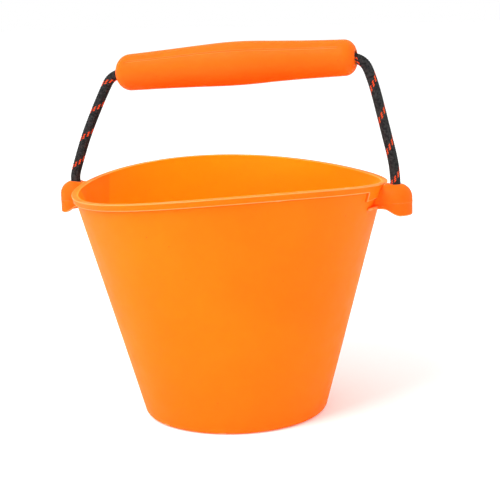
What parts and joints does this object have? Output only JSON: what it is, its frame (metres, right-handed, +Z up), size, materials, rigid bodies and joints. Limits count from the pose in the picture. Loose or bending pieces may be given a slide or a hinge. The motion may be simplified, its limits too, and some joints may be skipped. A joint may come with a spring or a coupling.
{
  "type": "sand bucket",
  "caption": "Soft tapered sand bucket with a wavy banded rim, hooded side ears and a braided rope handle carrying a spindle-shaped grip.",
  "frame": {"origin": "centre of the base on the ground", "axes": "+Z up through the mouth, X through the two ears that hold the rope, -Y towards the front"},
  "size_m": [0.1726, 0.1494, 0.1745],
  "materials": {
    "shell": "satin translucent silicone, moulded",
    "grip": "satin moulded silicone with a fine parting line",
    "cord": "braided, dull, with orange tracer stitches"
  },
  "bodies": {
    "bucket": {"bucket_shell": "shell", "cord_end_left": "cord", "cord_end_right": "cord", "knot_left": "cord", "knot_right": "cord"},
    "handle": {"cord_leg_left": "cord", "cord_leg_right": "cord", "cord_in_grip": "cord"},
    "grip": {"handle_grip": "grip"}
  },
  "joints": [
    {"name": "handle_swing", "type": "hinge", "parent": "bucket", "child": "handle", "pos_m": [0, 0, 0.1117], "axis": [1, 0, 0], "range_deg": [-78, 78]},
    {"name": "grip_spin", "type": "hinge", "parent": "handle", "child": "grip", "pos_m": [0.00385, 0, 0.1632], "axis": [0.9986, 0, 0.0529], "continuous": true}
  ]
}
